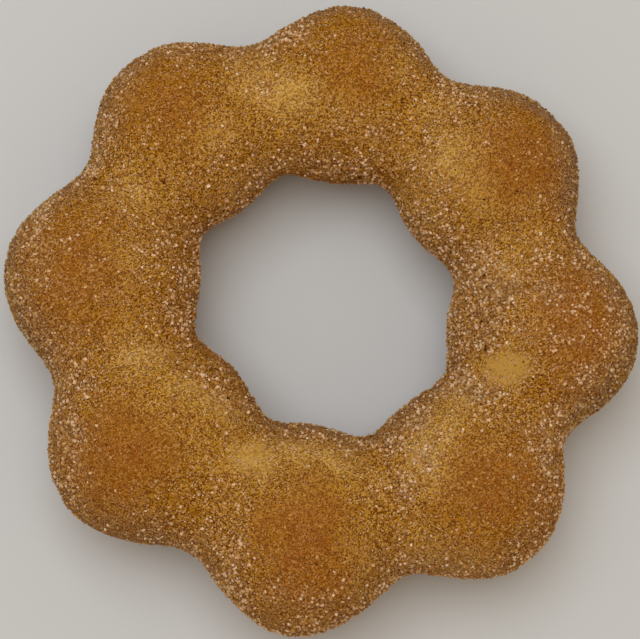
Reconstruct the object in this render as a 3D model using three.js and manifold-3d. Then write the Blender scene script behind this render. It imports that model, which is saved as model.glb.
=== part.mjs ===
// Mochi doughnut: eight balls of dough that proved until they touched, fused into one ring in the fryer
// and rolled in cinnamon sugar. It is one piece of food, so it is one solid.
// Millimetres, +Z up. The origin is on the surface that the doughnut lies on, under the middle of its
// outline. Seen from above, +X is right and +Y is up.
import * as THREE from "three";
import { mergeVertices } from "three/addons/utils/BufferGeometryUtils.js";
import Module from "manifold-3d";

// Driving dimensions of the dough
const RING_RADIUS = 31.2; // from the middle of the ring to the middle of a ball
const FUSE = 3.4; // how far neighbouring balls have run into each other
const FAN = 0.02; // share by which a ball is wider at its outer end than in its middle
const FLAT = 0.7; // how much of a ball's foot is pressed flat where it lies

// The eight balls, anticlockwise from the one on the right.
// turn: degrees away from its even place on the ring
// out: how far its middle lies outside the ring's circle
// deep, wide: half its size across the ring and along it
// tall: its height above the surface
// round: 2 is an ellipse seen from above, and less is more pointed
const BALLS = [
  { turn: -6.7, out: 0.2, deep: 13.2, wide: 12.3, tall: 23.8, round: 1.95 },
  { turn: -6.0, out: -0.9, deep: 13.1, wide: 12.5, tall: 23.4, round: 1.95 },
  { turn: -5.4, out: 0.8, deep: 12.7, wide: 12.9, tall: 22.8, round: 1.8 },
  { turn: -7.8, out: 1.3, deep: 13.1, wide: 12.9, tall: 23.6, round: 1.9 },
  { turn: -8.2, out: 0.9, deep: 13.7, wide: 13.4, tall: 24.0, round: 1.85 },
  { turn: -7.2, out: -0.6, deep: 15.0, wide: 13.9, tall: 24.8, round: 1.85 },
  { turn: -5.6, out: 0.5, deep: 14.6, wide: 13.5, tall: 24.6, round: 1.8 },
  { turn: -5.6, out: 0.8, deep: 13.6, wide: 12.4, tall: 24.2, round: 2.0 },
];

// Grid of the dough's skin
const STEPS_AROUND = 112; // round the ring
const STEPS_SECTION = 28; // round the ring's section
const REACH = 28; // longer than any line from the ring's core to the skin
const HALVINGS = 30; // of that line, until it ends on the skin

// The largest grains and clumps of sugar. The finer coat is left to the finish.
const GRAINS = 150;
const GRAIN_SIZES = [0.7, 1.0]; // edge of a grain, smallest and largest
const GRAIN_FLATTEST = 0.7; // the least share of its edge that a grain measures the other ways
const GRAIN_SUNK = 0.1; // share of its edge that a grain's middle lies below the skin
const SUGARED_FROM = -10; // degrees of the section, from its outer side: just under the widest line
const SUGARED_TO = 190; // over the top, to the same place on the side of the hole
const SEED = 8;

const TURN = 2 * Math.PI;

// A ball's own frame and half height, worked out from its sizes.
function placeBall(sizes, index) {
  const angle = (index / BALLS.length) * TURN + THREE.MathUtils.degToRad(sizes.turn);
  const halfTall = (sizes.tall + FLAT) / 2;
  return {
    ...sizes,
    outward: new THREE.Vector2(Math.cos(angle), Math.sin(angle)),
    middle: RING_RADIUS + sizes.out,
    halfTall,
    middleHeight: halfTall - FLAT,
    meanSize: (sizes.deep + sizes.wide + halfTall) / 3,
  };
}

const balls = BALLS.map(placeBall);
const CORE_HEIGHT = balls.reduce((sum, ball) => sum + ball.middleHeight, 0) / balls.length;

// Rough distance from a point to one ball's skin, negative inside.
function ballDistance(ball, point) {
  const across = point.x * ball.outward.x + point.y * ball.outward.y - ball.middle;
  const along = point.y * ball.outward.x - point.x * ball.outward.y;
  const wide = ball.wide * (1 + FAN * THREE.MathUtils.clamp(across / ball.deep, -1, 1));
  const plan = Math.pow(
    Math.pow(Math.abs(across / ball.deep), ball.round) + Math.pow(Math.abs(along / wide), ball.round),
    1 / ball.round,
  );
  return (Math.hypot(plan, (point.z - ball.middleHeight) / ball.halfTall) - 1) * ball.meanSize;
}

// The same for the fused dough: a soft minimum, which fills the necks between the balls.
function doughDistance(point) {
  const sum = balls.reduce((total, ball) => total + Math.exp(-ballDistance(ball, point) / FUSE), 0);
  return -FUSE * Math.log(sum);
}

// The middle of the ring's section at an angle round the ring.
function corePoint(around) {
  return new THREE.Vector3(RING_RADIUS * Math.cos(around), RING_RADIUS * Math.sin(around), CORE_HEIGHT);
}

// The point of the skin on a line from the ring's core, at an angle round the ring and one round its section.
function skinPoint(around, section) {
  const core = corePoint(around);
  const level = Math.cos(section);
  const direction = new THREE.Vector3(level * Math.cos(around), level * Math.sin(around), Math.sin(section));
  let inside = 0;
  let outside = REACH;
  for (let i = 0; i < HALVINGS; i++) {
    const half = (inside + outside) / 2;
    const point = core.clone().addScaledVector(direction, half);
    if (doughDistance(point) < 0) inside = half;
    else outside = half;
  }
  const skin = core.clone().addScaledVector(direction, inside);
  if (skin.z >= 0) return skin;
  return core.addScaledVector(direction, CORE_HEIGHT / -direction.z).setZ(0); // the foot, pressed flat
}

// The dough's skin as a closed grid of triangles.
function doughGeometry() {
  const positions = [];
  const triangles = [];
  for (let i = 0; i < STEPS_AROUND; i++) {
    const next = (i + 1) % STEPS_AROUND;
    for (let j = 0; j < STEPS_SECTION; j++) {
      const up = (j + 1) % STEPS_SECTION;
      positions.push(...skinPoint((i / STEPS_AROUND) * TURN, (j / STEPS_SECTION) * TURN).toArray());
      const corners = [
        [i, j],
        [next, j],
        [next, up],
        [i, up],
      ].map(([a, b]) => a * STEPS_SECTION + b);
      triangles.push(corners[0], corners[1], corners[2], corners[0], corners[2], corners[3]);
    }
  }
  const geometry = new THREE.BufferGeometry();
  geometry.setAttribute("position", new THREE.Float32BufferAttribute(positions, 3));
  geometry.setIndex(triangles);
  return geometry;
}

// Sugar grains as small turned boxes, half sunk in the skin and spread evenly by turning each one on
// by the golden ratio round the ring.
function sugarGeometries() {
  const random = THREE.MathUtils.seededRandom;
  random(SEED);
  const goldenShare = (Math.sqrt(5) - 1) / 2;
  const from = THREE.MathUtils.degToRad(SUGARED_FROM);
  const span = THREE.MathUtils.degToRad(SUGARED_TO - SUGARED_FROM);
  const grains = [];
  for (let i = 0; i < GRAINS; i++) {
    const around = (i * goldenShare + random() / GRAINS) * TURN;
    const section = from + ((i + random()) / GRAINS) * span;
    const edge = THREE.MathUtils.lerp(...GRAIN_SIZES, random());
    const skin = skinPoint(around, section);
    const inward = corePoint(around).sub(skin).normalize();
    const turned = new THREE.Euler(random() * TURN, random() * TURN, random() * TURN);
    const place = new THREE.Matrix4().compose(
      skin.addScaledVector(inward, GRAIN_SUNK * edge),
      new THREE.Quaternion().setFromEuler(turned),
      new THREE.Vector3(
        edge,
        edge * THREE.MathUtils.lerp(GRAIN_FLATTEST, 1, random()),
        edge * THREE.MathUtils.lerp(GRAIN_FLATTEST, 1, random()),
      ),
    );
    grains.push(new THREE.BoxGeometry().applyMatrix4(place));
  }
  return grains;
}

const wasm = await Module();
wasm.setup();

function solidFrom(geometry) {
  const bare = geometry.clone();
  bare.deleteAttribute("normal");
  bare.deleteAttribute("uv");
  const merged = mergeVertices(bare);
  return new wasm.Manifold(
    new wasm.Mesh({
      numProp: 3,
      vertProperties: merged.attributes.position.array,
      triVerts: new Uint32Array(merged.index.array),
    }),
  );
}

function geometryFrom(solid) {
  const mesh = solid.getMesh();
  const geometry = new THREE.BufferGeometry();
  geometry.setAttribute("position", new THREE.BufferAttribute(mesh.vertProperties, mesh.numProp));
  geometry.setIndex(new THREE.BufferAttribute(mesh.triVerts, 1));
  return geometry;
}

// The dough with its sugar, moved so that the origin is under the middle of its outline.
function doughnutGeometry() {
  const dough = solidFrom(doughGeometry());
  const sugared = sugarGeometries().reduce((solid, grain) => solid.add(solidFrom(grain)), dough);
  const geometry = geometryFrom(sugared);
  geometry.computeBoundingBox();
  const middle = geometry.boundingBox.getCenter(new THREE.Vector3());
  geometry.translate(-middle.x, -middle.y, 0);
  geometry.computeVertexNormals();
  return geometry;
}

// Fried crust with its sugar: golden brown and matt.
const crust = new THREE.MeshStandardMaterial({ color: 0x96662f, roughness: 0.8, metalness: 0 });

const doughnut = new THREE.Mesh(doughnutGeometry(), crust);
doughnut.name = "doughnut";

const mochiDoughnut = new THREE.Group();
mochiDoughnut.add(doughnut);

export default mochiDoughnut;
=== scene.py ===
"""Mochi doughnut: the finish of a ring of eight fused balls of fried dough, rolled in cinnamon sugar.

The file is laid out as an add-on and is run as a script. Metres, +Z up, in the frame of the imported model.
"""

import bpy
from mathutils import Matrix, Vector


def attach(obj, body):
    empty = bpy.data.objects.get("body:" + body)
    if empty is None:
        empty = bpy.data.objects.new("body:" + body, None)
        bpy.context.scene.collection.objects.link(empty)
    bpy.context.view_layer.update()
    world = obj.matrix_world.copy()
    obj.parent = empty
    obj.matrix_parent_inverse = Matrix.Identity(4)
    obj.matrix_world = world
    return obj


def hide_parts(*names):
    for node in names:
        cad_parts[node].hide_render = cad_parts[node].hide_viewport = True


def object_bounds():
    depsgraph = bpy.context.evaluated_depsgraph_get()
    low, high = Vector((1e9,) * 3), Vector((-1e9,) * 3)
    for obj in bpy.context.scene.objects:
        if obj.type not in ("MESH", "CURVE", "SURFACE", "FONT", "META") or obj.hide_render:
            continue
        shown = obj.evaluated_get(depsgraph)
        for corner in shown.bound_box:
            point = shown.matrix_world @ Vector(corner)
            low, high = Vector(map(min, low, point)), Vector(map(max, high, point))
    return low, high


bl_info = {
    "name": "Mochi Doughnut",
    "version": (1, 0, 0),
    "blender": (4, 5, 0),
    "location": "3D View > Sidebar > Doughnut",
    "description": "Makes a fried mochi ring with its coat of cinnamon sugar, and the stage it is shown on",
    "category": "Add Mesh",
}

import math

import bpy
import numpy as np
from bpy.props import FloatProperty, FloatVectorProperty, IntProperty, PointerProperty
from bpy.types import Operator, Panel, PropertyGroup
from mathutils import Vector, noise
from mathutils.bvhtree import BVHTree

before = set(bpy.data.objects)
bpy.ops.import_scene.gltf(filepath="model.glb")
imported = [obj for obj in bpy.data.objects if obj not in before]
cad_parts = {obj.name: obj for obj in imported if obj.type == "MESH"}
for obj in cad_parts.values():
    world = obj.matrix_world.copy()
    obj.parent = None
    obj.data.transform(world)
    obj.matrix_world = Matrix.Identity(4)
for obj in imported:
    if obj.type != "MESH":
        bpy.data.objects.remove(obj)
CAD_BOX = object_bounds()

MM = 0.001
NODE = "doughnut"
BODY = "root"
BAKE_MAP = "OFBake"

DOUGH = "dough_ring"
BROWNED = "browned"
PALE = "pale"
SUGARED = "sugared"
# How far the crust on its steep sides is made dull by sugar and darker by painted shade
DULLED_SHADED_SIDE = "side"
BARE = "bare"
FINISHES = (BROWNED, PALE, SUGARED, DULLED_SHADED_SIDE, BARE)
TINT = "tint"

# The crowns of the eight balls, anticlockwise from the one on the right.
# around: degrees round the ring
# out: millimetres outside the ring's circle
# reach: millimetres from its middle to where its browning ends, across the ring
# wide: the same along the ring, as a share of its reach
# browned: how dark it fried, from 0 to 1
# sugar: how thickly sugar stuck to the ball, where 1 is even
# dulled: how much sugar dulls its outer side and painted shade darkens it, from 0 to 1
CROWNS = (
    {"around": 355, "out": 4.5, "reach": 12.0, "wide": 1.15, "browned": 0.86, "sugar": 1.95, "dulled_and_shaded": 1.0},
    {"around": 36, "out": 2.8, "reach": 12.0, "wide": 1.0, "browned": 0.72, "sugar": 0.9, "dulled_and_shaded": 1.0},
    {"around": 82, "out": 2.2, "reach": 12.5, "wide": 0.85, "browned": 0.54, "sugar": 0.62, "dulled_and_shaded": 0.85},
    {"around": 127, "out": 4.0, "reach": 12.5, "wide": 0.9, "browned": 0.56, "sugar": 0.52, "dulled_and_shaded": 0.75},
    {"around": 174, "out": 2.4, "reach": 14.0, "wide": 1.15, "browned": 0.62, "sugar": 1.1, "dulled_and_shaded": 0.9},
    {"around": 219, "out": 3.2, "reach": 14.0, "wide": 0.85, "browned": 0.82, "sugar": 0.7, "dulled_and_shaded": 0.5},
    {"around": 267, "out": 1.8, "reach": 15.0, "wide": 0.68, "browned": 0.88, "sugar": 0.75, "dulled_and_shaded": 0.35},
    {"around": 312, "out": 4.2, "reach": 12.2, "wide": 1.1, "browned": 0.76, "sugar": 0.9, "dulled_and_shaded": 0.3},
)
# How much sugar dulls each of those balls where it faces the hole, and painted shade darkens it there, from 0
# to 1.
WALLS_DULLED_AND_SHADED = (0.3, 0.0, 0.0, 0.0, 0.1, 0.2, 0.7, 0.6)

# Patches where dough stayed pale, under its neighbours or out of the oil, or where sugar came off it.
# at: degrees round the ring, and millimetres from its axis
# size: half its size along the ring and across it, in millimetres
# pale: how pale it is, from 0 to 1
# bare: how much of the sugar it has lost, from 0 to 1
PALE_PATCHES = (
    {"at": (8, 26), "size": (4, 4), "pale": 0.6, "bare": 0.0},
    {"at": (17, 31), "size": (3.5, 6), "pale": 0.35, "bare": 0.3},
    {"at": (26, 32), "size": (3, 4), "pale": 0.4, "bare": 0.2},
    {"at": (37, 27), "size": (5, 4), "pale": 0.65, "bare": 0.4},
    {"at": (37, 20.5), "size": (4.5, 2.5), "pale": 0.4, "bare": 0.0},
    {"at": (47, 27), "size": (4.5, 5.5), "pale": 0.95, "bare": 0.2},
    {"at": (49, 20), "size": (4, 3), "pale": 0.5, "bare": 0.0},
    {"at": (60, 32), "size": (3.5, 4.5), "pale": 0.45, "bare": 0.0},
    {"at": (71, 36), "size": (3.5, 4), "pale": 0.4, "bare": 0.0},
    {"at": (81, 26), "size": (6, 3), "pale": 0.45, "bare": 0.0},
    {"at": (82, 31), "size": (4.5, 3.5), "pale": 0.0, "bare": 0.8},
    {"at": (99, 30), "size": (5.4, 4.5), "pale": 0.95, "bare": 0.2},
    {"at": (106, 20.5), "size": (5.5, 3), "pale": 0.6, "bare": 0.0},
    {"at": (106, 33), "size": (3.5, 5), "pale": 0.75, "bare": 0.0},
    {"at": (121, 28), "size": (4.5, 3.5), "pale": 0.5, "bare": 0.2},
    {"at": (125, 19.5), "size": (5.5, 3), "pale": 0.75, "bare": 0.0},
    {"at": (149, 30), "size": (4, 4.5), "pale": 0.6, "bare": 0.0},
    {"at": (160, 36.5), "size": (3.2, 3.5), "pale": 0.0, "bare": 0.7},
    {"at": (163, 31), "size": (3.5, 4), "pale": 0.0, "bare": 0.6},
    {"at": (170, 26), "size": (6, 4), "pale": 0.4, "bare": 0.1},
    {"at": (187, 27.5), "size": (3.2, 4), "pale": 0.0, "bare": 0.75},
    {"at": (195, 37), "size": (3, 4), "pale": 0.0, "bare": 0.2},
    {"at": (198, 26), "size": (2.9, 4.5), "pale": 0.85, "bare": 0.1},
    {"at": (215, 22), "size": (5, 3.5), "pale": 0.65, "bare": 0.3},
    {"at": (225, 31), "size": (4.5, 4), "pale": 0.0, "bare": 0.8},
    {"at": (228, 20), "size": (4, 3), "pale": 0.8, "bare": 0.2},
    {"at": (238, 25), "size": (4, 4), "pale": 0.25, "bare": 0.6},
    {"at": (247, 23.5), "size": (4.2, 3.4), "pale": 1.0, "bare": 0.6},
    {"at": (263, 21), "size": (4, 2.8), "pale": 0.9, "bare": 0.1},
    {"at": (274, 32.5), "size": (3.5, 4), "pale": 0.0, "bare": 0.6},
    {"at": (277, 22), "size": (3.6, 3.4), "pale": 1.0, "bare": 0.1},
    {"at": (279, 36), "size": (3.2, 5.5), "pale": 0.4, "bare": 0.4},
    {"at": (292, 37), "size": (4.5, 5), "pale": 0.5, "bare": 0.0},
    {"at": (299, 41), "size": (5.5, 3), "pale": 0.35, "bare": 0.8},
    {"at": (303, 27), "size": (3.8, 5.5), "pale": 1.0, "bare": 0.1},
    {"at": (311, 24.5), "size": (4.5, 4.8), "pale": 0.78, "bare": 0.0},
    {"at": (324, 24), "size": (5, 4), "pale": 0.6, "bare": 0.1},
    {"at": (331, 36.5), "size": (3.2, 3.6), "pale": 0.5, "bare": 0.0},
    {"at": (338, 23), "size": (2.6, 3), "pale": 0.1, "bare": 0.85},
    {"at": (338, 32.5), "size": (3.6, 4.5), "pale": 0.0, "bare": 0.75},
    {"at": (340, 27.2), "size": (3, 4), "pale": 0.94, "bare": 1.0},
    {"at": (352, 20.5), "size": (6, 2.5), "pale": 0.0, "bare": 0.4},
)

# The paler crust all round, on the side of the hole: radius and half width in millimetres, and how pale.
INNER_BAND = {"radius": 26.5, "across": 4.5, "pale": 0.26}

# Where sugar lies thicker or thinner than its ball has it, with places and sizes as for the pale patches.
# sugar: how much more there is, where 1 is as much again as an even coat and less than 0 is thinner
SUGAR_PATCHES = (
    {"at": (6, 33), "size": (5, 6), "sugar": 0.35},
    {"at": (6, 26.5), "size": (5, 4), "sugar": 0.4},
    {"at": (16, 21), "size": (4, 3), "sugar": 0.4},
    {"at": (35, 22), "size": (6, 3), "sugar": 0.5},
    {"at": (43, 40.5), "size": (5, 3), "sugar": -0.7},
    {"at": (47, 18), "size": (4, 2), "sugar": 0.6},
    {"at": (51, 36), "size": (4, 4), "sugar": 0.75},
    {"at": (59, 35.8), "size": (2.6, 2.6), "sugar": 1.3},
    {"at": (78, 25), "size": (7, 2.5), "sugar": 0.5},
    {"at": (84, 41.3), "size": (4, 2.5), "sugar": -0.5},
    {"at": (91, 38.5), "size": (3.5, 3), "sugar": 0.35},
    {"at": (95, 20.5), "size": (6, 2.5), "sugar": 0.4},
    {"at": (101, 38), "size": (5, 4), "sugar": 0.6},
    {"at": (115, 40.5), "size": (4.5, 2.8), "sugar": 0.9},
    {"at": (118, 23.5), "size": (6, 3), "sugar": 0.6},
    {"at": (127, 18.5), "size": (8, 2.5), "sugar": 0.5},
    {"at": (136, 40.5), "size": (5.5, 3), "sugar": 1.3},
    {"at": (147, 38), "size": (3.5, 4), "sugar": 0.5},
    {"at": (155, 24), "size": (6, 3), "sugar": 0.25},
    {"at": (157, 41), "size": (4, 3), "sugar": 0.4},
    {"at": (166, 18), "size": (4, 2), "sugar": 0.5},
    {"at": (167, 40.5), "size": (4.5, 3.5), "sugar": 0.75},
    {"at": (173, 42), "size": (3.5, 2.5), "sugar": 0.5},
    {"at": (180, 42), "size": (6, 3), "sugar": 0.3},
    {"at": (198, 35.7), "size": (3, 3), "sugar": 0.7},
    {"at": (209, 40), "size": (4.5, 4.5), "sugar": 0.7},
    {"at": (213, 37), "size": (4, 4.5), "sugar": 0.65},
    {"at": (227, 43), "size": (5, 2.5), "sugar": -0.8},
    {"at": (228, 18), "size": (8, 2), "sugar": 0.4},
    {"at": (251, 37), "size": (4, 5), "sugar": 0.8},
    {"at": (266, 40.5), "size": (4, 3), "sugar": 0.9},
    {"at": (266, 36), "size": (3, 3), "sugar": 0.3},
    {"at": (270, 18), "size": (9, 2), "sugar": 0.1},
    {"at": (300, 18), "size": (6, 2), "sugar": 0.5},
    {"at": (301, 26), "size": (4.5, 5), "sugar": 0.8},
    {"at": (320, 20.5), "size": (5, 2), "sugar": 0.75},
    {"at": (328, 38), "size": (5.4, 4.5), "sugar": 1.2},
    {"at": (331, 24.5), "size": (2.5, 2.5), "sugar": 1.5},
    {"at": (355, 37), "size": (6.5, 5), "sugar": 0.35},
)

# The largest chips of cinnamon, with places as for the patches, and lengths in millimetres.
LARGE_CHIPS = (
    {"at": (142, 27.5), "length": 0.8},
    {"at": (150, 36.2), "length": 0.8},
    {"at": (345, 23.7), "length": 0.75},
    {"at": (340, 31.2), "length": 0.4},
    {"at": (10, 23.4), "length": 0.7},
    {"at": (68, 30.9), "length": 0.5},
)

# How the finish goes from place to place. A pair says where something starts and where it is full: by the
# share of a size, by how level the skin is (0 to 1), or by how far it looks up or away from the hole
# (-1 to 1).
CROWN_SHARES = (1.0, 0.1)  # browning, in a crown's reach
SHED_SHARES = (1.3, 0.5)  # loss of sugar, in a crown's reach
SHED = 0.6  # the most sugar that a crown has lost
PATCH_SHARES = (1.5, 0.1)  # a patch's own finish, in its size
BALL_REACH = 9  # millimetres that a ball's own amount of sugar reaches
WANDER = 2.2 * MM  # how far the edges of crowns and patches wander
WANDER_SIZE = 5 * MM  # and over which length
PALE_WANDER = 0.6  # share of it for the pale patches
BROWNED_LEVEL = (0.2, 0.75)
PALE_UP = (-0.1, 0.4)
PALE_HIDDEN = 0.6  # how much of a pale patch browning hides
CLUSTER_SIZE = 4.5 * MM  # width of the clusters that sugar lies in
CLUSTER_MEAN = 0.75  # their mean thickness
CLUSTER_SWING = 0.6  # and how far it swings
PRESSED = 0.7  # sugar that rolling pressed onto the steep sides
PRESSED_AT_HOLE = 0.3  # share of it on the sides of the hole
PRESSED_LEVEL = (0.9, 0.3)
PRESSED_OUTWARD = (-0.3, 0.3)
SUGAR_LIMITS = (0.02, 2.2)  # the least and the most sugar anywhere
# Where sugar dulls the steep skin and painted shade darkens it: on the outer side and on the hole's walls,
# fading where the skin faces down.
DULLED_SHADED_LEVEL = (0.85, 0.25)
DULLED_SHADED_OUTWARD = (-0.2, 0.5)
DULLED_SHADED_INWARD = (0.2, -0.5)
DULLED_SHADED_UP = (-1.0, 0.35)
DULLED_SUGAR = (0.8, 2.0)  # amounts of sugar that dull the crust anywhere
DULLED_BY_SUGAR = 0.5  # and by how much
FOOT_HEIGHT = 1.5 * MM  # the lowest part of the dough, smooth and free of grains

# Seeds of what is random. Each kind of sugar or cinnamon has the next one after the kind before it.
SEEDS = {"lumps": 3, "crust": 5, "wander": (11, 17), "clusters": 23, "sugar": 0, "cinnamon": 10}

# Settings of shader nodes
COLOUR_MIX = {"data_type": "RGBA"}
MULTIPLY = {"operation": "MULTIPLY"}
MULTIPLY_ADD = {"operation": "MULTIPLY_ADD"}


def linear(hex_colour):
    """The scene's linear RGBA of an sRGB hex colour."""
    channels = [int(hex_colour[i : i + 2], 16) / 255 for i in (0, 2, 4)]
    return (*[c / 12.92 if c <= 0.04045 else ((c + 0.055) / 1.055) ** 2.4 for c in channels], 1.0)


def count_property(name, description, count, least=1):
    """A property for how many there are of something."""
    return IntProperty(name=name, description=description, default=count, min=least)


def length_property(name, description, millimetres):
    """A size property in metres, with its default given in millimetres."""
    return FloatProperty(
        name=name, description=description, default=millimetres * MM, min=0, precision=5, unit="LENGTH"
    )


def angle_property(name, description, degrees):
    """An angle property, with its default given in degrees."""
    return FloatProperty(name=name, description=description, default=math.radians(degrees), subtype="ANGLE")


def colour_property(name, description, hex_colour):
    """A colour property, with its default given as sRGB hex."""
    return FloatVectorProperty(
        name=name, description=description, default=linear(hex_colour), size=4, min=0, max=1, subtype="COLOR"
    )


class MOCHI_PG_dough(PropertyGroup):
    """Sizes and colours of the dough."""

    ring_radius: length_property("Ring Radius", "From the ring's axis to the middle of its section", 31.2)
    core_height: FloatProperty(
        name="Core Height",
        description="Height of the middle of the ring's section",
        default=(CAD_BOX[0].z + CAD_BOX[1].z) / 2,
        unit="LENGTH",
    )
    steps_around: count_property("Steps Around", "Faces round the ring", 640, least=64)
    steps_section: count_property("Steps Section", "Faces round the section", 148, least=16)
    lump_size: length_property("Lump Size", "Width of the soft lumps that proving left", 7)
    lump_height: length_property("Lump Height", "Height of those lumps", 0.22)
    crust_size: length_property("Crust Size", "Width of the small unevenness of the fried crust", 1.9)
    crust_height: length_property("Crust Height", "Height of that unevenness", 0.07)
    golden: colour_property("Golden", "Crust between its crowns and its pale patches", "bc8220")
    brown: colour_property("Brown", "Crust on the crowns", "a55e22")
    pale: colour_property("Pale", "Crust where it stayed pale", "e2ae52")
    # Side colour: partly crust made dull by sugar, partly painted shade that darkens the steep sides and the
    # hole's walls.
    side: colour_property("Side", "Crust on the sides, dulled by sugar", "937862")
    dust: colour_property("Dust", "Grains of sugar that are bedded in the crust", "e2bc90")
    stained: colour_property("Stained", "The same on the crowns, stained by cinnamon and oil", "ce9654")
    # Gap: oily crust between the grains, darkened further as painted shade in the recesses between them.
    gap: colour_property("Gap", "Oily crust that shows between the grains", "6a3400")


class MOCHI_PG_sugar(PropertyGroup):
    """Amounts, sizes and colours of the sugar."""

    dust_count: count_property("Dust Grains", "How many grains of dust", 24000)
    dust_least: length_property("Dust Least", "Edge of the smallest grain of dust", 0.14)
    dust_most: length_property("Dust Most", "Edge of the largest grain of dust", 0.22)
    fine_count: count_property("Fine Grains", "How many fine grains", 24000)
    fine_least: length_property("Fine Least", "Edge of the smallest fine grain", 0.2)
    fine_most: length_property("Fine Most", "Edge of the largest fine grain", 0.32)
    medium_count: count_property("Medium Grains", "How many medium grains", 12000)
    medium_least: length_property("Medium Least", "Edge of the smallest medium grain", 0.28)
    medium_most: length_property("Medium Most", "Edge of the largest medium grain", 0.42)
    coarse_count: count_property("Coarse Grains", "How many coarse grains", 8000)
    coarse_least: length_property("Coarse Least", "Edge of the smallest coarse grain", 0.34)
    coarse_most: length_property("Coarse Most", "Edge of the largest coarse grain", 0.5)
    clumps_count: count_property("Clumps", "How many clumps", 360)
    clumps_least: length_property("Clumps Least", "Edge of the smallest grain in a clump", 0.26)
    clumps_most: length_property("Clumps Most", "Edge of the largest grain in a clump", 0.44)
    clump_grains: count_property("Clump Grains", "Grains that are stuck in a clump", 5)
    stained: colour_property("Stained", "Grains that cinnamon and oil have stained", "9a601e")
    soaked: colour_property("Soaked", "Grains that oil has soaked", "c88e40")
    clear: colour_property("Clear", "Grains that stayed clean", "f8d4ae")
    shade: colour_property("Shade", "What those colours are multiplied by on dulled sides", "e2f0ff")


class MOCHI_PG_cinnamon(PropertyGroup):
    """Amounts, sizes and colours of the cinnamon."""

    specks_count: count_property("Specks", "How many specks of cinnamon", 16000)
    specks_least: length_property("Specks Least", "Length of the smallest speck", 0.12)
    specks_most: length_property("Specks Most", "Length of the largest speck", 0.28)
    chips_count: count_property("Chips", "How many larger chips of cinnamon", 80)
    chips_least: length_property("Chips Least", "Length of the smallest chip", 0.28)
    chips_most: length_property("Chips Most", "Length of the largest scattered chip", 0.5)
    dark: colour_property("Dark", "The darkest cinnamon", "3e1a04")
    light: colour_property("Light", "The lightest cinnamon", "7e4614")


class MOCHI_PG_stage(PropertyGroup):
    """The floor, light and camera."""

    floor: colour_property("Floor", "Matt white card", "d2d0cc")
    floor_radius: length_property("Floor Radius", "Half the width of the card", 1500)
    sky: FloatProperty(name="Sky", description="Strength of the light from all round", default=0.54, min=0)
    sky_cool: colour_property("Sky Cool", "Light of a cloudy day, from the soft box's side", "e6e8ed")
    sky_warm: colour_property("Sky Warm", "Light of a warm room, from the other side", "ffe8c2")
    key_colour: colour_property("Key Colour", "Light of a cool soft box", "ecf5ff")
    key_power: FloatProperty(name="Key Power", description="Soft box", default=3.85, min=0, unit="POWER")
    key_size: length_property("Key Size", "Edge of the soft box", 700)
    key_distance: length_property("Key Distance", "From the doughnut to the soft box", 800)
    key_around: angle_property("Key Around", "Side that the soft box is on", 132)
    key_height: angle_property("Key Height", "Angle of the soft box over the floor", 79)
    camera_distance: length_property("Camera Distance", "From the doughnut to the camera", 350)
    camera_around: angle_property("Camera Around", "Side that the camera is on", -90)
    camera_height: angle_property("Camera Height", "Angle of the camera over the floor", 80)
    camera_lens: FloatProperty(name="Lens", description="Focal length in millimetres", default=139, min=1)
    aim: FloatVectorProperty(
        name="Aim",
        description="Where the camera looks",
        default=(0.06 * MM, -0.86 * MM, 12 * MM),
        unit="LENGTH",
    )


def add_node(material, kind, settings=None, inputs=None):
    """Adds a shader node, with its settings, and its inputs set to values or linked to sockets."""
    tree = material.node_tree
    node = tree.nodes.new("ShaderNode" + kind)
    for name, value in (settings or {}).items():
        setattr(node, name, value)
    for name, value in (inputs or {}).items():
        if isinstance(value, bpy.types.NodeSocket):
            tree.links.new(value, node.inputs[name])
        else:
            node.inputs[name].default_value = value
    return node


def empty_material(name):
    """A material whose nodes are still to be added."""
    material = bpy.data.materials.new(name)
    material.use_nodes = True
    material.node_tree.nodes.clear()
    return material


def read(items, name, width=1):
    """One property of many mesh elements, as an array."""
    values = np.empty(len(items) * width, np.float32)
    items.foreach_get(name, values)
    return values.reshape(-1, width) if width > 1 else values


def smooth_step(low, high, values):
    """0 at low, 1 at high and a smooth rise between them."""
    share = np.clip((values - low) / (high - low), 0, 1)
    return share * share * (3 - 2 * share)


def uneven(points, size, seed, octaves=2):
    """Smooth random values from about -1 to 1 at the points, with lumps of a size."""
    shift = Vector((seed, -seed, 2 * seed))
    return np.array([noise.fractal(Vector(p) / size + shift, 1.0, 2.0, octaves) for p in points])


def piece_from(name, points, faces, places_on_map, material, smooth=False):
    """A mesh object that rides on the doughnut, with its faces' corners placed on the map for baking."""
    mesh = bpy.data.meshes.new(name)
    mesh.from_pydata(points.tolist(), [], faces.tolist(), shade_flat=not smooth)
    mesh.uv_layers.new(name=BAKE_MAP).data.foreach_set("uv", places_on_map.ravel())
    mesh.materials.append(material)
    if mesh.validate():
        raise RuntimeError(name + " has broken faces")
    piece = bpy.data.objects.new(name, mesh)
    bpy.context.scene.collection.objects.link(piece)
    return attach(piece, BODY)


def add_values(mesh, name, values):
    """Stores a number for each of a mesh's points, which its material can read."""
    mesh.attributes.new(name, "FLOAT", "POINT").data.foreach_set("value", values.astype(np.float32))


# Form of the dough


def over_neighbours(values, reach, pick):
    """Each value of a closed grid replaced by a pick, such as the least, of its neighbours within a reach."""
    for axis, steps in enumerate(reach):
        values = pick([np.roll(values, k, axis) for k in range(-steps, steps + 1)], axis=0)
    return values


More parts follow.
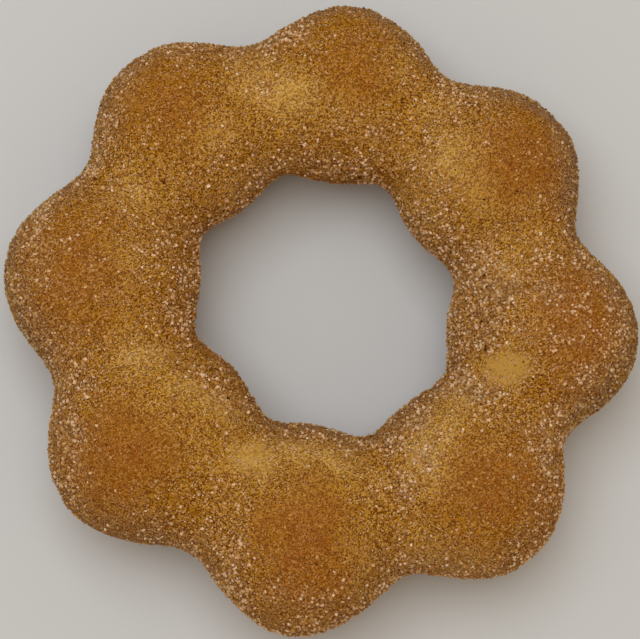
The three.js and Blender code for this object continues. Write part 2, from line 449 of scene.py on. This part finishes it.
def cast_radii(dough, around, section):
    """Distances from the ring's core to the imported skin, at angles round the ring and round its section."""
    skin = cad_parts[NODE].data
    tree = BVHTree.FromPolygons([v.co for v in skin.vertices], [p.vertices for p in skin.polygons])
    radii = np.empty((len(around), len(section)))
    for i, angle in enumerate(around):
        outward = Vector((math.cos(angle), math.sin(angle), 0))
        core = outward * dough.ring_radius + Vector((0, 0, dough.core_height))
        for j, turn in enumerate(section):
            distance = tree.ray_cast(core, outward * math.cos(turn) + Vector((0, 0, math.sin(turn))))[3]
            if distance is None:
                raise RuntimeError("the ring's core lies outside the doughnut")
            radii[i, j] = distance
    return radii


def ring_points(dough, around, section, radii):
    """Places at those distances from the ring's core, none of them lower than the surface it lies on."""
    a, s = np.meshgrid(around, section, indexing="ij")
    level = dough.ring_radius + radii * np.cos(s)
    height = np.maximum(dough.core_height + radii * np.sin(s), 0)
    return np.stack([level * np.cos(a), level * np.sin(a), height], axis=-1)


def skin_points(dough):
    """The dough's skin as a closed grid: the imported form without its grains, with its own relief."""
    around = np.arange(dough.steps_around) / dough.steps_around * 2 * math.pi
    section = np.arange(dough.steps_section) / dough.steps_section * 2 * math.pi
    radii = cast_radii(dough, around, section)
    # Steps round the ring and round the section: as far as a packed grain reaches, and as a dent is softened
    grain_reach = (4, 3)
    smooth_reach = (3, 1)
    smoothings = 3
    radii = over_neighbours(radii, grain_reach, np.min)
    radii = over_neighbours(radii, grain_reach, np.max)
    for _ in range(smoothings):
        radii = over_neighbours(radii, smooth_reach, np.mean)
    points = ring_points(dough, around, section, radii).reshape(-1, 3)
    lumps = dough.lump_height * uneven(points, dough.lump_size, SEEDS["lumps"])
    crust = dough.crust_height * uneven(points, dough.crust_size, SEEDS["crust"])
    off_the_foot = smooth_step(0, FOOT_HEIGHT, points[:, 2])
    radii += ((lumps + crust) * off_the_foot).reshape(radii.shape)
    return ring_points(dough, around, section, radii)


def grid_normals(points):
    """Directions out of a closed grid's skin."""
    along = np.roll(points, -1, 0) - np.roll(points, 1, 0)
    across = np.roll(points, -1, 1) - np.roll(points, 1, 1)
    normals = np.cross(along, across)
    return normals / np.linalg.norm(normals, axis=-1, keepdims=True)


def strips_map(steps):
    """Places of each face's corners on a map that holds the ring as two strips, half of it on each."""
    half = steps[0] // 2
    i, j = np.meshgrid(np.arange(steps[0]), np.arange(steps[1]), indexing="ij")
    margin = 0.004
    long, short = 1 - 2 * margin, 0.5 - 2 * margin
    corners = []
    for a, b in ((0, 0), (1, 0), (1, 1), (0, 1)):
        along = margin + (i % half + a) / half * long
        across = margin + (j + b) / steps[1] * short + 0.5 * (i // half)
        corners.append(np.stack([along, across], axis=-1))
    return np.stack(corners, axis=2)


# Finish of the dough from place to place


def from_spot(plan, around, radius):
    """How many millimetres points lie along the ring and across it from a spot, given as for the patches."""
    angle = math.radians(around)
    outward = np.array([math.cos(angle), math.sin(angle)])
    offset = plan / MM - outward * radius
    return offset[:, 1] * outward[0] - offset[:, 0] * outward[1], offset @ outward


def in_patch(plan, patch):
    """How far points are inside an oval patch, from 0 at its edge to 1 in its middle."""
    along, across = from_spot(plan, *patch["at"])
    half_along, half_across = patch["size"]
    return smooth_step(*PATCH_SHARES, np.hypot(along / half_along, across / half_across))


def by_crowns(dough, plan, wander):
    """What each point has from its ball: browning, sugar, and how much sugar dulls it and painted shade
    darkens it on the outer side and at the hole.
    """
    ring = dough.ring_radius / MM
    browned, near, sugar, dulled_and_shaded, wall_dulled_and_shaded = np.zeros((5, len(plan)))
    cover = np.ones(len(plan))
    for crown, wall in zip(CROWNS, WALLS_DULLED_AND_SHADED):
        along, across = from_spot(plan + wander, crown["around"], ring + crown["out"])
        share = np.hypot(along / crown["wide"], across) / crown["reach"]
        browned = np.maximum(browned, crown["browned"] * smooth_step(*CROWN_SHARES, share))
        cover = np.minimum(cover, 1 - SHED * crown["browned"] * smooth_step(*SHED_SHARES, share))
        weight = np.exp(-((np.hypot(*from_spot(plan, crown["around"], ring)) / BALL_REACH) ** 2))
        near += weight
        sugar += weight * crown["sugar"]
        dulled_and_shaded += weight * crown["dulled_and_shaded"]
        wall_dulled_and_shaded += weight * wall
    return browned, cover * sugar / near, dulled_and_shaded / near, wall_dulled_and_shaded / near


def by_patches(plan, wander):
    """How pale each point stayed, how much of its sugar it lost and how much more it has."""
    inwards = (np.linalg.norm(plan + wander, axis=1) / MM - INNER_BAND["radius"]) / INNER_BAND["across"]
    pale = INNER_BAND["pale"] * np.exp(-(inwards**2))
    bare, thick = np.zeros((2, len(plan)))
    for patch in PALE_PATCHES:
        inside = in_patch(plan + PALE_WANDER * wander, patch)
        pale = np.maximum(pale, patch["pale"] * inside)
        bare = np.maximum(bare, patch["bare"] * inside)
    for patch in SUGAR_PATCHES:
        thick += patch["sugar"] * in_patch(plan + wander, patch)
    return pale, bare, thick


def finish_values(dough, points, normals):
    """How browned, pale and sugared the crust is at each point, how dull from sugar and dark from painted
    shade on its steep sides, and how bare.
    """
    plan = points[:, :2]
    up = normals[:, 2]
    level = np.abs(up)
    outward = (normals[:, :2] * plan).sum(axis=1) / np.linalg.norm(plan, axis=1)
    wander = np.stack([uneven(points, WANDER_SIZE, seed) for seed in SEEDS["wander"]], axis=1) * WANDER
    browned, stuck, dulled_and_shaded, wall_dulled_and_shaded = by_crowns(dough, plan, wander)
    pale, bare, thick = by_patches(plan, wander)
    browned *= smooth_step(*BROWNED_LEVEL, level)
    pale *= smooth_step(*PALE_UP, up) * (1 - PALE_HIDDEN * browned)
    clusters = CLUSTER_MEAN + CLUSTER_SWING * uneven(points, CLUSTER_SIZE, SEEDS["clusters"], octaves=3)
    outside = PRESSED_AT_HOLE + (1 - PRESSED_AT_HOLE) * smooth_step(*PRESSED_OUTWARD, outward)
    pressed = PRESSED * smooth_step(*PRESSED_LEVEL, level) * outside
    sugared = np.clip((stuck * (1 - bare) + thick + pressed) * clusters, *SUGAR_LIMITS)
    # Painted shade, along with the dulling by sugar: steep skin facing out or into the hole is made darker.
    dulled_and_shaded *= smooth_step(*DULLED_SHADED_OUTWARD, outward)
    dulled_and_shaded += wall_dulled_and_shaded * smooth_step(*DULLED_SHADED_INWARD, outward)
    by_sugar = DULLED_BY_SUGAR * smooth_step(*DULLED_SUGAR, sugared)
    side = np.maximum(dulled_and_shaded * smooth_step(*DULLED_SHADED_LEVEL, level), by_sugar) * smooth_step(*DULLED_SHADED_UP, up)
    return browned, pale, sugared, side, bare


# Crust

BLOTCH_SIZE = 2.5 * MM  # blotches of browning
BLOTCHES = 0.25  # how far they swing it
NOISE_RANGE = (0.3, 0.7)  # where most values of their noise lie
# Real dust of sugar and cinnamon is about half this size: the grit is drawn coarser so that it shows.
GRIT_SIZE = 0.18 * MM
GRIT_HEIGHT = 0.07 * MM
BEND_SIZE = 0.2 * MM  # bends in the outlines of its grains
BEND = 0.12 * MM  # how far they reach
BROWN_DUST = 0.6  # sugar that holds as much dust as full browning does
DUSTIEST = 1.4  # sugar at which dust is thickest
BARE_GRIT = (0.86, 0.42)  # share of the grit that is crust, where there is no dust and where it is thickest
DUST_COVER = (0.1, 0.9)  # how well a grain of dust covers the crust, from the most soaked to the driest
STAIN_HIDDEN = 0.35  # browning whose stain an even coat of sugar hides
STAINED_FROM = 0.55  # browning that stains all of the dust
THICK_COAT = 1.5  # sugar that opens the most gaps, where the dark gap colour paints the most shade
OPEN_GRIT = (0.75, 1.06)  # share of the grit that lies deep, without sugar and in a thick coat
DEEPEST = 0.1  # share of the grit that lies deepest
CALM_GAPS = 0.72  # share of the gaps that show where the crust is pale or browned
EVEN_GAPS = 0.33  # the same all over, where the crust is smooth
EVEN_BROWN = 0.1  # how smooth browning makes it
DRY, OILY = 0.85, 0.6  # roughness of the dust and of the gaps


def fried_colour(material, dough, places, finish):
    """The colour of the crust alone: golden, browned in blotches, pale in patches, and dull from sugar and
    darker from painted shade on the sides.
    """
    pattern = {"Vector": places, "Scale": 1 / BLOTCH_SIZE, "Detail": 4.0, "Roughness": 0.65}
    mottle = add_node(material, "TexNoise", inputs=pattern).outputs["Fac"]
    swing = {"Value": mottle, 1: NOISE_RANGE[0], 2: NOISE_RANGE[1], 3: -BLOTCHES, 4: BLOTCHES}
    blotches = add_node(material, "MapRange", inputs=swing).outputs[0]
    clamped_sum = {"operation": "ADD", "use_clamp": True}
    browning = add_node(material, "Math", clamped_sum, {0: finish[BROWNED], 1: blotches}).outputs[0]
    fried = add_node(material, "Mix", COLOUR_MIX, {0: browning, 6: dough.golden, 7: dough.brown}).outputs[2]
    upper = add_node(material, "Mix", COLOUR_MIX, {0: finish[PALE], 6: fried, 7: dough.pale}).outputs[2]
    # Painted shade: the side colour darkens the steep sides, partly standing for the dulling of sugar.
    return add_node(material, "Mix", COLOUR_MIX, {0: finish[DULLED_SHADED_SIDE], 6: upper, 7: dough.side}).outputs[2]


def grit_tones(material, places):
    """Random red, green and blue for each grain of grit, and the distance from the grain's middle."""
    bends = add_node(material, "TexNoise", inputs={"Vector": places, "Scale": 1 / BEND_SIZE}).outputs["Color"]
    bent = add_node(material, "VectorMath", MULTIPLY_ADD, {0: bends, 1: (BEND,) * 3, 2: places}).outputs[0]
    grit = add_node(material, "TexVoronoi", inputs={"Vector": bent, "Scale": 1 / GRIT_SIZE}).outputs
    tones = add_node(material, "SeparateColor", inputs={"Color": grit["Color"]}).outputs
    return tones, grit["Distance"]


def dusted_colour(material, dough, finish, tones, crust):
    """The crust's colour with grains of dust bedded in it, which are stained on the crowns."""
    dusty = add_node(
        material, "Math", MULTIPLY_ADD, {0: finish[BROWNED], 1: BROWN_DUST, 2: finish[SUGARED]}
    ).outputs[0]
    shares = {"Value": dusty, 2: DUSTIEST, 3: BARE_GRIT[0], 4: BARE_GRIT[1]}
    bare_share = add_node(material, "MapRange", inputs=shares).outputs[0]
    above = {"operation": "GREATER_THAN"}
    is_dust = add_node(material, "Math", above, {0: tones["Green"], 1: bare_share}).outputs[0]
    covers = {"Value": tones["Blue"], 3: DUST_COVER[0], 4: DUST_COVER[1]}
    cover = add_node(material, "MapRange", inputs=covers).outputs[0]
    dust = add_node(material, "Math", MULTIPLY, {0: is_dust, 1: cover}).outputs[0]
    soaked = add_node(
        material, "Math", MULTIPLY_ADD, {0: finish[SUGARED], 1: -STAIN_HIDDEN, 2: finish[BROWNED]}
    ).outputs[0]
    stain = add_node(material, "MapRange", inputs={"Value": soaked, 2: STAINED_FROM}).outputs[0]
    grains = add_node(material, "Mix", COLOUR_MIX, {0: stain, 6: dough.dust, 7: dough.stained}).outputs[2]
    return add_node(material, "Mix", COLOUR_MIX, {0: dust, 6: crust, 7: grains}).outputs[2]


def gaps_in_grit(material, finish, tones):
    """How deep each grain of grit lies, and how much of the gaps' colour it shows: oily crust, with painted
    shade between the grains.
    """
    opening = {"Value": finish[SUGARED], 2: THICK_COAT, 3: OPEN_GRIT[0], 4: OPEN_GRIT[1]}
    open_from = add_node(material, "MapRange", inputs=opening).outputs[0]
    soft = {"interpolation_type": "SMOOTHSTEP"}
    deep = add_node(material, "MapRange", soft, {"Value": tones["Red"], 1: open_from, 2: DEEPEST}).outputs[0]
    largest = {"operation": "MAXIMUM"}
    calm = add_node(material, "Math", largest, {0: finish[PALE], 1: finish[BROWNED]}).outputs[0]
    kept = add_node(material, "MapRange", inputs={"Value": calm, 3: 1.0, 4: CALM_GAPS}).outputs[0]
    between = add_node(material, "Math", MULTIPLY, {0: deep, 1: kept}).outputs[0]
    smooth = add_node(material, "Math", MULTIPLY, {0: finish[BARE], 1: finish[PALE]}).outputs[0]
    even = add_node(material, "Math", MULTIPLY_ADD, {0: finish[BROWNED], 1: EVEN_BROWN, 2: smooth}).outputs[0]
    return deep, add_node(material, "Mix", inputs={0: even, 2: between, 3: EVEN_GAPS}).outputs[0]


def fried_crust(dough):
    """The crust's material.

    Fried mochi dough, dusted with fine sugar and cinnamon: golden to brown, matt and gritty where it is
    dusted, a little oily and darker in the gaps, partly as painted shade, and darker on the steep sides as
    painted shade.
    """
    material = empty_material("Fried mochi crust")
    places = add_node(material, "TexCoord").outputs["Object"]
    finish = {
        name: add_node(material, "Attribute", {"attribute_name": name}).outputs["Fac"] for name in FINISHES
    }
    tones, from_middle = grit_tones(material, places)
    crust = fried_colour(material, dough, places, finish)
    dusted = dusted_colour(material, dough, finish, tones, crust)
    deep, gaps = gaps_in_grit(material, finish, tones)
    # Painted shade: deep grit between the grains takes the dark gap colour, partly the oily crust's own.
    colour = add_node(material, "Mix", COLOUR_MIX, {0: gaps, 6: dusted, 7: dough.gap}).outputs[2]
    roughness = add_node(material, "MapRange", inputs={"Value": deep, 3: DRY, 4: OILY}).outputs[0]
    minus = {"operation": "SUBTRACT"}
    height = add_node(material, "Math", minus, {0: tones["Red"], 1: from_middle}).outputs[0]
    relief = {"Height": height, "Strength": 0.6, "Distance": GRIT_HEIGHT}
    shader = add_node(
        material,
        "BsdfPrincipled",
        inputs={
            "Base Color": colour,
            "Roughness": roughness,
            "Normal": add_node(material, "Bump", inputs=relief).outputs[0],
            "IOR": 1.45,
            "Specular IOR Level": 0.02,
        },
    )
    add_node(material, "OutputMaterial", inputs={"Surface": shader.outputs["BSDF"]})
    return material


class MOCHI_OT_dough(Operator):
    """Make the ring of fused balls of dough with its fried crust"""

    bl_idname = "mochi.dough"
    bl_label = "Dough Ring"
    bl_options = {"REGISTER", "UNDO"}

    def execute(self, context):
        dough = context.scene.mochi_dough
        grid = skin_points(dough)
        steps = grid.shape[:2]
        index = np.arange(steps[0] * steps[1]).reshape(steps)
        ahead = np.roll(index, -1, 0)
        faces = np.stack([index, ahead, np.roll(ahead, -1, 1), np.roll(index, -1, 1)], axis=-1).reshape(-1, 4)
        points = grid.reshape(-1, 3)
        piece = piece_from(DOUGH, points, faces, strips_map(steps), fried_crust(dough), smooth=True)
        values = finish_values(dough, points, grid_normals(grid).reshape(-1, 3))
        for name, value in zip(FINISHES, values):
            add_values(piece.data, name, value)
        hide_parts(NODE)
        return {"FINISHED"}


# Sugar and cinnamon

# Forms of a crystal, each with corners in a cube of edge 1 or a little more and faces that look outwards
BOX = (
    np.array([(x, y, z) for x in (-0.5, 0.5) for y in (-0.5, 0.5) for z in (-0.5, 0.5)]),
    np.array([(0, 1, 3, 2), (4, 6, 7, 5), (0, 4, 5, 1), (2, 3, 7, 6), (0, 2, 6, 4), (1, 5, 7, 3)]),
)
EIGHT_SIDED = (
    np.array([(-0.6, 0, 0), (0.6, 0, 0), (0, -0.6, 0), (0, 0.6, 0), (0, 0, -0.6), (0, 0, 0.6)]),
    np.array([(1, 3, 5), (3, 0, 5), (0, 2, 5), (2, 1, 5), (3, 1, 4), (0, 3, 4), (2, 0, 4), (1, 2, 4)]),
)
# How grains are set on the dough
# flattest: the least share of its edge that a grain measures
# raised: share of its edge that its middle lies over the dough
SUGAR_SET = {"flattest": 0.6, "raised": 0.12}
CINNAMON_SET = {"flattest": 0.35, "raised": 0.05}
CORNERS_OFF = (-0.35, 0.2)  # how far a grain's corners may be off its form's, as shares
FORM_ON_MAP = np.array([(0.5, 0.0), (0.0, 0.5), (0.2, 0.15)])  # how a form's axes lie in its cell of the map

# Kinds of sugar: name, form, and how strongly it keeps to where sugar is thick
CLUMPS = "clumps"
SUGAR_KINDS = (
    ("dust", EIGHT_SIDED, 0.3),
    ("fine", EIGHT_SIDED, 0.8),
    ("medium", BOX, 1.4),
    ("coarse", BOX, 1.8),
    (CLUMPS, BOX, 1.8),
)
CLUMP_SPREAD = 0.6  # how far a clump spreads, in edges of its largest grains

# Tints of sugar, from 0 where it is stained, over soaked in the middle, to 1 where it is clear
SOAKED_TINT = 0.5
STAIN_COVERED = 0.6  # how much of a crown's stain an even coat of sugar covers
CLEAN_LEAST = 0.12  # chance that a grain is clean where there is least sugar
CLEAN_MORE = 0.5  # by how much an even coat raises it
CLEAN_MOST = 0.6  # where that ends
CLEAN_STAINED = 0.9  # how much of the chance is lost where crowns are stained
CLEAN_DULLED_SHADED = 0.3  # and where sides are dull from sugar and dark from painted shade
STAINED_TINT = 0.4  # how far clean grains fall short of clear where crowns are stained
DULLED_SHADED_TINT = 0.22  # how much of any tint is lost on the steep sides, partly by sugar's dulling, partly as painted shade

# Kinds of cinnamon: name and form
CHIPS = "chips"
CINNAMON_KINDS = (("specks", EIGHT_SIDED), (CHIPS, BOX))
WITH_SUGAR = 0.2  # how much more cinnamon an even coat of sugar holds
UPPER = 0.2  # how far the skin looks up, at least, where the largest chips lie


def scatter(count, random, thickness):
    """Places on the dough, directions out of it, and its finish there.

    The function thickness turns how sugared a place is into its chance of being chosen.
    """
    mesh = bpy.data.objects[DOUGH].data
    corners = read(mesh.loops, "vertex_index").astype(int).reshape(-1, 4)
    places = read(mesh.vertices, "co", 3)[corners]
    normals = read(mesh.vertices, "normal", 3)[corners]
    finish = {name: read(mesh.attributes[name].data, "value")[corners].mean(axis=1) for name in FINISHES}
    off_the_foot = places[:, :, 2].mean(axis=1) > FOOT_HEIGHT
    chance = read(mesh.polygons, "area") * thickness(finish[SUGARED]) * off_the_foot
    chosen = random.choice(len(corners), count, p=chance / chance.sum())
    u, v = random.random((2, count))
    shares = np.stack([(1 - u) * (1 - v), u * (1 - v), u * v, (1 - u) * v], axis=1)[:, :, None]
    chosen_places = (places[chosen] * shares).sum(axis=1)
    chosen_normals = (normals[chosen] * shares).sum(axis=1)
    return chosen_places, chosen_normals, {name: values[chosen] for name, values in finish.items()}


def random_turns(count, random):
    """Rotation matrices, one for each grain, from random quaternions."""
    quaternions = random.normal(size=(4, count))
    w, x, y, z = quaternions / np.linalg.norm(quaternions, axis=0)
    rows = [
        [1 - 2 * (y * y + z * z), 2 * (x * y - z * w), 2 * (x * z + y * w)],
        [2 * (x * y + z * w), 1 - 2 * (x * x + z * z), 2 * (y * z - x * w)],
        [2 * (x * z - y * w), 2 * (y * z + x * w), 1 - 2 * (x * x + y * y)],
    ]
    return np.moveaxis(np.array(rows), 2, 0)


def make_grains(name, form, seats, values, material, random, flattest, raised):
    """Many small grains as one piece: uneven, turned at random and set into the dough.

    The seats are places on the dough, directions out of it and the edges of the grains.
    """
    corners, faces = form
    places, normals, edges = seats
    count = len(edges)
    shapes = corners * (1 + random.uniform(*CORNERS_OFF, size=(count, *corners.shape)))
    sides = random.uniform(flattest, 1, size=(count, 1, 3)) * edges[:, None, None]
    turned = np.einsum("nij,nkj->nki", random_turns(count, random), shapes * sides)
    points = turned + (places + normals * (raised * edges)[:, None])[:, None]
    all_faces = faces[None] + np.arange(count)[:, None, None] * len(corners)
    map_side = math.ceil(math.sqrt(count))
    cells = np.stack(np.divmod(np.arange(count), map_side), axis=1)
    on_map = (cells[:, None] + 0.5 + (corners @ FORM_ON_MAP)[None]) / map_side
    piece = piece_from(
        name, points.reshape(-1, 3), all_faces.reshape(-1, faces.shape[1]), on_map[:, faces], material
    )
    for value_name, of_each in values.items():
        add_values(piece.data, value_name, np.repeat(of_each, len(corners)))


def tinted(name, colours, roughness, ior, gloss, shade=None):
    """A material that runs through some colours by each grain's own tint, with a shade for dulled sides."""
    material = empty_material(name)
    tint = add_node(material, "Attribute", {"attribute_name": TINT}).outputs["Fac"]
    colour = colours[0]
    steps = len(colours) - 1
    for step, next_colour in enumerate(colours[1:]):
        inputs = {"Value": tint, 1: step / steps, 2: (step + 1) / steps}
        share = add_node(material, "MapRange", inputs=inputs).outputs[0]
        colour = add_node(material, "Mix", COLOUR_MIX, {0: share, 6: colour, 7: next_colour}).outputs[2]
    # Painted shade: grains on the steep sides are multiplied by the shade colour.
    if shade is not None:
        side = add_node(material, "Attribute", {"attribute_name": DULLED_SHADED_SIDE}).outputs["Fac"]
        shading = {"data_type": "RGBA", "blend_type": "MULTIPLY"}
        colour = add_node(material, "Mix", shading, {0: side, 6: colour, 7: shade}).outputs[2]
    shader = add_node(
        material,
        "BsdfPrincipled",
        inputs={"Base Color": colour, "Roughness": roughness, "IOR": ior, "Specular IOR Level": gloss},
    )
    add_node(material, "OutputMaterial", inputs={"Surface": shader.outputs["BSDF"]})
    return material


def sizes_of(group, kind):
    """How many there are of a kind of grain, and the edges of its smallest and largest."""
    return [getattr(group, kind + size) for size in ("_count", "_least", "_most")]


def sugar_tints(finish, random):
    """A tint for each grain of sugar, by the finish of its place."""
    sugared, side = finish[SUGARED], finish[DULLED_SHADED_SIDE]
    count = len(sugared)
    stained = finish[BROWNED] * np.maximum(1 - STAIN_COVERED * sugared, 0)
    chance = np.minimum(CLEAN_LEAST + CLEAN_MORE * sugared, CLEAN_MOST)
    clean = random.random(count) < chance * (1 - CLEAN_STAINED * stained) * (1 - CLEAN_DULLED_SHADED * side)
    clean_tints = random.uniform(SOAKED_TINT, 1 - STAINED_TINT * stained, count)
    other_tints = random.uniform(0, SOAKED_TINT, count)
    # Painted shade: grains on the steep sides lose some of their tint and look darker.
    return np.where(clean, clean_tints, other_tints) * (1 - DULLED_SHADED_TINT * side)


class MOCHI_OT_sugar(Operator):
    """Scatter the sugar: dust, fine, medium and coarse grains, and clumps"""

    bl_idname = "mochi.sugar"
    bl_label = "Sugar"
    bl_options = {"REGISTER", "UNDO"}

    def execute(self, context):
        sugar = context.scene.mochi_sugar
        # Granulated sugar: broken clear crystals, which look pale where clean and tan where oil wets them.
        colours = (sugar.stained, sugar.soaked, sugar.clear)
        material = tinted("Granulated sugar", colours, roughness=0.4, ior=1.56, gloss=0.12, shade=sugar.shade)
        for seed, (kind, form, power) in enumerate(SUGAR_KINDS, start=SEEDS["sugar"]):
            random = np.random.default_rng(seed)
            count, least, most = sizes_of(sugar, kind)
            together = sugar.clump_grains if kind == CLUMPS else 1
            places, normals, finish = scatter(count, random, lambda sugared: sugared**power)
            places, normals = [np.repeat(each, together, axis=0) for each in (places, normals)]
            finish = {name: np.repeat(values, together) for name, values in finish.items()}
            spread = random.normal(size=places.shape) * most * CLUMP_SPREAD * (together > 1)
            places = places + spread - normals * (spread * normals).sum(axis=1, keepdims=True)
            edges = random.uniform(least, most, len(places))
            values = {TINT: sugar_tints(finish, random), DULLED_SHADED_SIDE: finish[DULLED_SHADED_SIDE]}
            seats = (places, normals, edges)
            make_grains("sugar_" + kind, form, seats, values, material, random, **SUGAR_SET)
        return {"FINISHED"}


def with_large_chips(places, normals, edges):
    """Scattered chips with the largest ones added, each on the dough's upper side over its own spot."""
    mesh = bpy.data.objects[DOUGH].data
    skin = read(mesh.vertices, "co", 3)
    skin_normals = read(mesh.vertices, "normal", 3)
    upper = np.flatnonzero(skin_normals[:, 2] > UPPER)
    nearest = []
    for chip in LARGE_CHIPS:
        off = np.hypot(*from_spot(skin[upper, :2], *chip["at"]))
        nearest.append(upper[off.argmin()])
    lengths = [chip["length"] * MM for chip in LARGE_CHIPS]
    places = np.concatenate([places, skin[nearest]])
    normals = np.concatenate([normals, skin_normals[nearest]])
    return places, normals, np.concatenate([edges, lengths])


class MOCHI_OT_cinnamon(Operator):
    """Scatter the specks and chips of cinnamon"""

    bl_idname = "mochi.cinnamon"
    bl_label = "Cinnamon"
    bl_options = {"REGISTER", "UNDO"}

    def execute(self, context):
        cinnamon = context.scene.mochi_cinnamon
        # Ground cinnamon: dry brown bark, dull and dark against the sugar.
        colours = (cinnamon.dark, cinnamon.light)
        material = tinted("Ground cinnamon", colours, roughness=0.9, ior=1.5, gloss=0.02)
        for seed, (kind, form) in enumerate(CINNAMON_KINDS, start=SEEDS["cinnamon"]):
            random = np.random.default_rng(seed)
            count, least, most = sizes_of(cinnamon, kind)
            places, normals, _ = scatter(count, random, lambda sugared: 1 + WITH_SUGAR * sugared)
            edges = random.uniform(least, most, count)
            seats = (places, normals, edges)
            if kind == CHIPS:
                seats = with_large_chips(*seats)
            values = {TINT: random.random(len(seats[0]))}
            make_grains("cinnamon_" + kind, form, seats, values, material, random, **CINNAMON_SET)
        return {"FINISHED"}


# Stage


def on_sphere(around, height, distance):
    """The offset from the doughnut at an angle round it and one over the floor."""
    level = math.cos(height)
    return Vector((level * math.cos(around), level * math.sin(around), math.sin(height))) * distance


def place_facing(thing, aim, offset):
    """Puts a lamp or camera at an offset from a point, facing that point."""
    thing.location = aim + offset
    thing.rotation_euler = (-offset).to_track_quat("-Z", "Y").to_euler()
    bpy.context.scene.collection.objects.link(thing)


def make_floor(stage):
    """A round card under the doughnut."""
    # White card: evenly pale and without gloss.
    material = empty_material("Matt white card")
    shader = add_node(material, "BsdfPrincipled", inputs={"Base Color": stage.floor, "Roughness": 0.9})
    add_node(material, "OutputMaterial", inputs={"Surface": shader.outputs["BSDF"]})
    bpy.ops.mesh.primitive_circle_add(vertices=96, radius=stage.floor_radius, fill_type="NGON")
    floor = bpy.context.object
    floor.name = "floor"
    floor.data.materials.append(material)


def make_sky(stage):
    """Light from all round, which goes from warm to cool towards the soft box's side."""
    world = bpy.data.worlds.new("Studio")
    world.use_nodes = True
    world.node_tree.nodes.clear()
    direction = add_node(world, "TexCoord").outputs["Generated"]
    cool_side = on_sphere(stage.key_around, 0, 1)
    along = add_node(world, "VectorMath", {"operation": "DOT_PRODUCT"}, {0: direction, 1: cool_side})
    share = add_node(world, "MapRange", inputs={"Value": along.outputs["Value"], 1: -1.0}).outputs[0]
    colour = add_node(world, "Mix", COLOUR_MIX, {0: share, 6: stage.sky_warm, 7: stage.sky_cool}).outputs[2]
    sky = add_node(world, "Background", inputs={"Color": colour, "Strength": stage.sky})
    add_node(world, "OutputWorld", inputs={"Surface": sky.outputs["Background"]})
    bpy.context.scene.world = world


class MOCHI_OT_stage(Operator):
    """Make the floor, the light and the camera"""

    bl_idname = "mochi.stage"
    bl_label = "Stage"
    bl_options = {"REGISTER", "UNDO"}

    def execute(self, context):
        stage = context.scene.mochi_stage
        aim = Vector(stage.aim)
        make_floor(stage)
        make_sky(stage)
        key = bpy.data.lights.new("soft_box", "AREA")
        key.size = stage.key_size
        key.energy = stage.key_power
        key.color = stage.key_colour[:3]
        offset = on_sphere(stage.key_around, stage.key_height, stage.key_distance)
        place_facing(bpy.data.objects.new("soft_box", key), aim, offset)
        lens = bpy.data.cameras.new("camera")
        lens.lens = stage.camera_lens
        camera = bpy.data.objects.new("camera", lens)
        place_facing(camera, aim, on_sphere(stage.camera_around, stage.camera_height, stage.camera_distance))
        context.scene.camera = camera
        context.scene.view_settings.view_transform = "Standard"
        return {"FINISHED"}


class MOCHI_PT_doughnut(Panel):
    """The doughnut's sizes and colours, and the steps that make it"""

    bl_label = "Mochi Doughnut"
    bl_idname = "MOCHI_PT_doughnut"
    bl_space_type = "VIEW_3D"
    bl_region_type = "UI"
    bl_category = "Doughnut"

    def draw(self, context):
        for operator, settings in STEPS:
            box = self.layout.box()
            box.operator(operator.bl_idname)
            group = getattr(context.scene, settings)
            for name in group.bl_rna.properties.keys():
                if name not in ("rna_type", "name"):
                    box.prop(group, name)


GROUPS = {
    "mochi_dough": MOCHI_PG_dough,
    "mochi_sugar": MOCHI_PG_sugar,
    "mochi_cinnamon": MOCHI_PG_cinnamon,
    "mochi_stage": MOCHI_PG_stage,
}
STEPS = (
    (MOCHI_OT_dough, "mochi_dough"),
    (MOCHI_OT_sugar, "mochi_sugar"),
    (MOCHI_OT_cinnamon, "mochi_cinnamon"),
    (MOCHI_OT_stage, "mochi_stage"),
)
CLASSES = (*GROUPS.values(), *(operator for operator, _ in STEPS), MOCHI_PT_doughnut)


def register():
    for each in CLASSES:
        bpy.utils.register_class(each)
    for name, group in GROUPS.items():
        setattr(bpy.types.Scene, name, PointerProperty(type=group))


def unregister():
    for name in GROUPS:
        delattr(bpy.types.Scene, name)
    for each in reversed(CLASSES):
        bpy.utils.unregister_class(each)


def main():
    register()
    bpy.ops.mochi.dough()
    bpy.ops.mochi.sugar()
    bpy.ops.mochi.cinnamon()
    bpy.ops.mochi.stage()


if __name__ == "__main__":
    main()
